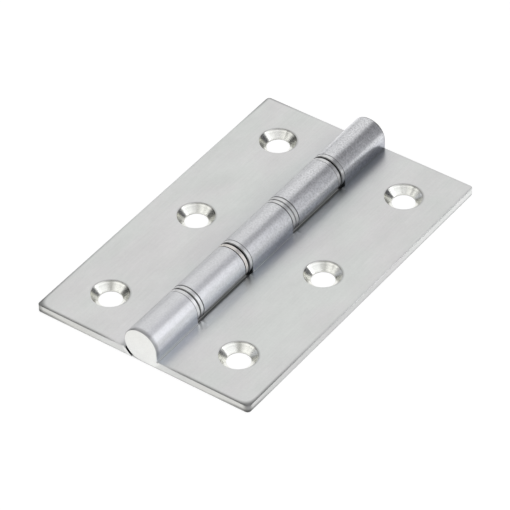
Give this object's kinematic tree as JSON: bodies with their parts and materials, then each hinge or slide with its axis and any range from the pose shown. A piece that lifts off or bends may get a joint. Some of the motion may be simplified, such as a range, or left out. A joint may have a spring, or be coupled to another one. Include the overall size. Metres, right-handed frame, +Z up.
{
  "type": "washered butt hinge",
  "caption": "Butt hinge with two flat rectangular leaves, a round knuckle barrel with thin washers between its knuckles and countersunk screw holes, for hanging a door on its frame.",
  "frame": {"origin": "middle of the open hinge, on the plane of the leaves' backs", "axes": "+X across the leaves towards the three-knuckle leaf, +Y along the pin, +Z up from the backs"},
  "size_m": [0.067, 0.102, 0.0102],
  "materials": {
    "leaf": "satin chrome plated",
    "pin": "satin, ends dressed flush",
    "washer": "polished, thinly plated bronze"
  },
  "bodies": {
    "fixed_leaf": {"three_knuckle_leaf": "leaf", "hinge_pin": "pin", "washer_1": "washer", "washer_4": "washer", "washer_5": "washer", "washer_8": "washer"},
    "swinging_leaf": {"two_knuckle_leaf": "leaf", "washer_2": "washer", "washer_3": "washer", "washer_6": "washer", "washer_7": "washer"}
  },
  "joints": [
    {"name": "leaf_swing", "type": "hinge", "parent": "fixed_leaf", "child": "swinging_leaf", "pos_m": [0, 0, 0.0051], "axis": [0, 1, 0], "range_deg": [0, 189]}
  ]
}
